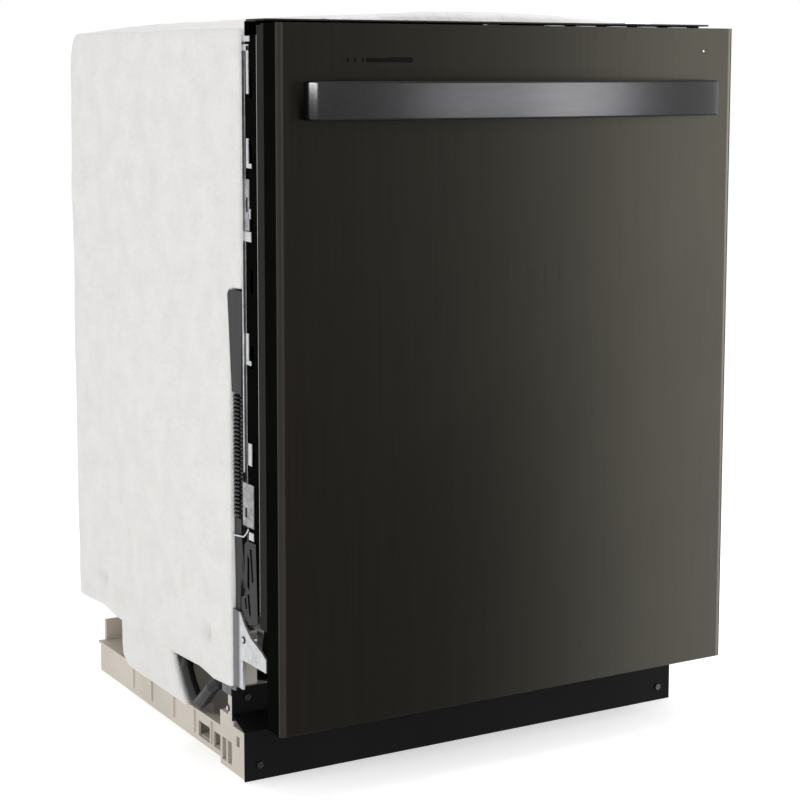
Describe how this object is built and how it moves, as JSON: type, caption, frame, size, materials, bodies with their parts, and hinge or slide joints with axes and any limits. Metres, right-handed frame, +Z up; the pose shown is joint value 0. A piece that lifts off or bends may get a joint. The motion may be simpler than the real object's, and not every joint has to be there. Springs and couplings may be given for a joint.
{
  "type": "built-in dishwasher",
  "caption": "Built-in dishwasher with a bottom-hinged door, bowed bar handle, wire racks, spray arms and a felt-wrapped tub.",
  "frame": {"origin": "centre of the overall box on the floor", "axes": "+Z up; -Y out of the door towards the user; +X to the right seen from the front"},
  "size_m": [0.606, 0.661, 0.868],
  "materials": {
    "tub_steel": "brushed stainless steel sheet",
    "galvanised": "galvanised steel, faint spangle",
    "dark_steel": "dark brushed steel, satin",
    "handle_steel": "dark brushed steel bar, satin",
    "black_sheet": "satin black paint",
    "grey_strap": "dark grey painted steel",
    "spring_steel": "black oiled spring steel",
    "motor_steel": "grey painted steel",
    "wire_coat": "grey nylon-coated wire",
    "felt": "white needled felt",
    "seal_rubber": "soft black rubber",
    "hose_rubber": "smooth black rubber",
    "base_plastic": "natural beige translucent plastic",
    "black_plastic": "fine-grained black plastic",
    "grey_plastic": "fine-grained grey plastic",
    "dark_plastic": "fine-grained dark grey plastic",
    "white_plastic": "matt white plastic",
    "blue_plastic": "glossy blue plastic",
    "window_gloss": "glossy black lens",
    "light_gloss": "clear light guide",
    "board_green": "green circuit board",
    "screw_steel": "dark screw steel"
  },
  "bodies": {
    "chassis": {"tub": "tub_steel", "front_frame": "galvanised", "tub_gasket": "seal_rubber", "base_pan": "base_plastic", "insulation_blanket": "felt", "insulation_skirt": "felt", "toe_panel": "black_sheet", "access_panel": "black_sheet", "panel_screws": "screw_steel", "hinge_brackets": "galvanised", "spring_straps": "grey_strap", "balance_springs": "spring_steel", "top_strip": "black_plastic", "counter_brackets": "galvanised", "latch_strike": "galvanised", "sump": "dark_plastic", "wash_motor": "motor_steel", "drain_pump": "dark_plastic", "inlet_valve": "white_plastic", "fill_hose": "hose_rubber", "drain_line": "grey_plastic", "junction_box": "galvanised", "heating_element": "tub_steel", "fine_filter": "tub_steel", "feed_tube": "grey_plastic", "rack_rails": "tub_steel"},
    "door": {"door_panel": "dark_steel", "door_liner": "tub_steel", "handle": "handle_steel", "control_console": "black_plastic", "control_board": "board_green", "status_window": "window_gloss", "status_light": "light_gloss", "dispenser_body": "grey_plastic", "vent_cover": "grey_plastic", "hinge_arms": "galvanised"},
    "spring_links": {"spring_links": "dark_plastic"},
    "float": {"float_switch": "white_plastic"},
    "filter": {"filter_cup": "grey_plastic"},
    "lower_arm": {"lower_spray_arm": "grey_plastic"},
    "foot_front_left": {"front_foot_left": "dark_plastic"},
    "foot_front_right": {"front_foot_right": "dark_plastic"},
    "feet_rear": {"rear_feet": "dark_plastic"},
    "dispenser_door": {"dispenser_lid": "grey_plastic"},
    "rinse_cap": {"rinse_aid_cap": "blue_plastic"},
    "latch": {"latch_claw": "galvanised"},
    "start_key": {"start_button": "grey_plastic"},
    "cycle_key": {"cycle_button": "grey_plastic"},
    "options_key": {"options_button": "grey_plastic"},
    "dry_key": {"dry_button": "grey_plastic"},
    "cancel_key": {"cancel_button": "grey_plastic"},
    "rack_lower": {"lower_rack": "wire_coat", "silverware_basket": "grey_plastic"},
    "wheels_front": {"lower_wheels_front": "grey_plastic"},
    "wheels_rear": {"lower_wheels_rear": "grey_plastic"},
    "tines": {"fold_down_tines": "wire_coat"},
    "rack_upper": {"upper_rack": "wire_coat"},
    "shelf": {"cup_shelf": "grey_plastic"},
    "upper_arm": {"upper_spray_arm": "grey_plastic"},
    "rack_third": {"third_rack": "wire_coat"}
  },
  "joints": [
    {"name": "door_hinge", "type": "hinge", "parent": "chassis", "child": "door", "pos_m": [0, -0.2315, 0.15], "axis": [1, 0, 0], "range_deg": [0, 90], "stiffness_Nm_per_rad": 18, "deforming": ["balance_springs"]},
    {"name": "spring_link_pull", "type": "slide", "parent": "chassis", "child": "spring_links", "axis": [0, 0, -1], "range_m": [0, 0.064]},
    {"name": "lower_rack_roll", "type": "slide", "parent": "chassis", "child": "rack_lower", "axis": [0, -1, 0], "range_m": [0, 0.1]},
    {"name": "upper_rack_slide", "type": "slide", "parent": "chassis", "child": "rack_upper", "axis": [0, -1, 0], "range_m": [0, 0.42]},
    {"name": "third_rack_slide", "type": "slide", "parent": "chassis", "child": "rack_third", "axis": [0, -1, 0], "range_m": [0, 0.4]},
    {"name": "front_wheels_roll", "type": "hinge", "parent": "rack_lower", "child": "wheels_front", "pos_m": [0, -0.1395, 0.1843], "axis": [1, 0, 0], "range_deg": [0, 320]},
    {"name": "rear_wheels_roll", "type": "hinge", "parent": "rack_lower", "child": "wheels_rear", "pos_m": [0, 0.1945, 0.1843], "axis": [1, 0, 0], "range_deg": [0, 320]},
    {"name": "folding_tines", "type": "hinge", "parent": "rack_lower", "child": "tines", "pos_m": [0, 0.1685, 0.2243], "axis": [1, 0, 0], "range_deg": [0, 82]},
    {"name": "cup_shelf_fold", "type": "hinge", "parent": "rack_upper", "child": "shelf", "pos_m": [-0.2357, -0.1415, 0.6235], "axis": [0, -1, 0], "range_deg": [0, 85]},
    {"name": "upper_arm_spin", "type": "hinge", "parent": "rack_upper", "child": "upper_arm", "pos_m": [0, 0.0515, 0.51], "axis": [0, 0, 1], "continuous": true},
    {"name": "lower_arm_spin", "type": "hinge", "parent": "chassis", "child": "lower_arm", "pos_m": [0, 0.0515, 0.19], "axis": [0, 0, 1], "continuous": true},
    {"name": "filter_twist", "type": "hinge", "parent": "chassis", "child": "filter", "pos_m": [0, -0.0685, 0.17], "axis": [0, 0, 1], "range_deg": [0, 60]},
    {"name": "float_rise", "type": "slide", "parent": "chassis", "child": "float", "axis": [0, 0, 1], "range_m": [0, 0.01]},
    {"name": "front_left_foot_screw", "type": "slide", "parent": "chassis", "child": "foot_front_left", "axis": [0, 0, -1], "range_m": [0, 0.016]},
    {"name": "front_right_foot_screw", "type": "slide", "parent": "chassis", "child": "foot_front_right", "axis": [0, 0, -1], "range_m": [0, 0.016]},
    {"name": "rear_feet_screw", "type": "slide", "parent": "chassis", "child": "feet_rear", "axis": [0, 0, -1], "range_m": [0, 0.016]},
    {"name": "dispenser_lid_slide", "type": "slide", "parent": "door", "child": "dispenser_door", "axis": [0, 0, 1], "range_m": [0, 0.06]},
    {"name": "rinse_cap_turn", "type": "hinge", "parent": "door", "child": "rinse_cap", "pos_m": [0.022, -0.2125, 0.5], "axis": [0, 1, 0], "range_deg": [0, 90]},
    {"name": "latch_claw_pivot", "type": "hinge", "parent": "door", "child": "latch", "pos_m": [0, -0.2375, 0.844], "axis": [1, 0, 0], "range_deg": [0, 8], "stiffness_Nm_per_rad": 2},
    {"name": "start_press", "type": "slide", "parent": "door", "child": "start_key", "axis": [0, 0, -1], "range_m": [0, 0.0015], "stiffness_N_per_m": 400},
    {"name": "cycle_press", "type": "slide", "parent": "door", "child": "cycle_key", "axis": [0, 0, -1], "range_m": [0, 0.0015], "stiffness_N_per_m": 400},
    {"name": "options_press", "type": "slide", "parent": "door", "child": "options_key", "axis": [0, 0, -1], "range_m": [0, 0.0015], "stiffness_N_per_m": 400},
    {"name": "dry_press", "type": "slide", "parent": "door", "child": "dry_key", "axis": [0, 0, -1], "range_m": [0, 0.0015], "stiffness_N_per_m": 400},
    {"name": "cancel_press", "type": "slide", "parent": "door", "child": "cancel_key", "axis": [0, 0, -1], "range_m": [0, 0.0015], "stiffness_N_per_m": 400}
  ],
  "couplings": [
    {"joint": "spring_link_pull", "follows": "door_hinge", "m_per_rad": 0.04},
    {"joint": "upper_rack_slide", "follows": "door_hinge", "m_per_rad": 0.265},
    {"joint": "third_rack_slide", "follows": "door_hinge", "m_per_rad": 0.25},
    {"joint": "lower_rack_roll", "follows": "door_hinge", "m_per_rad": 0.06},
    {"joint": "front_wheels_roll", "follows": "door_hinge", "ratio": 3.1579},
    {"joint": "rear_wheels_roll", "follows": "door_hinge", "ratio": 3.1579}
  ]
}
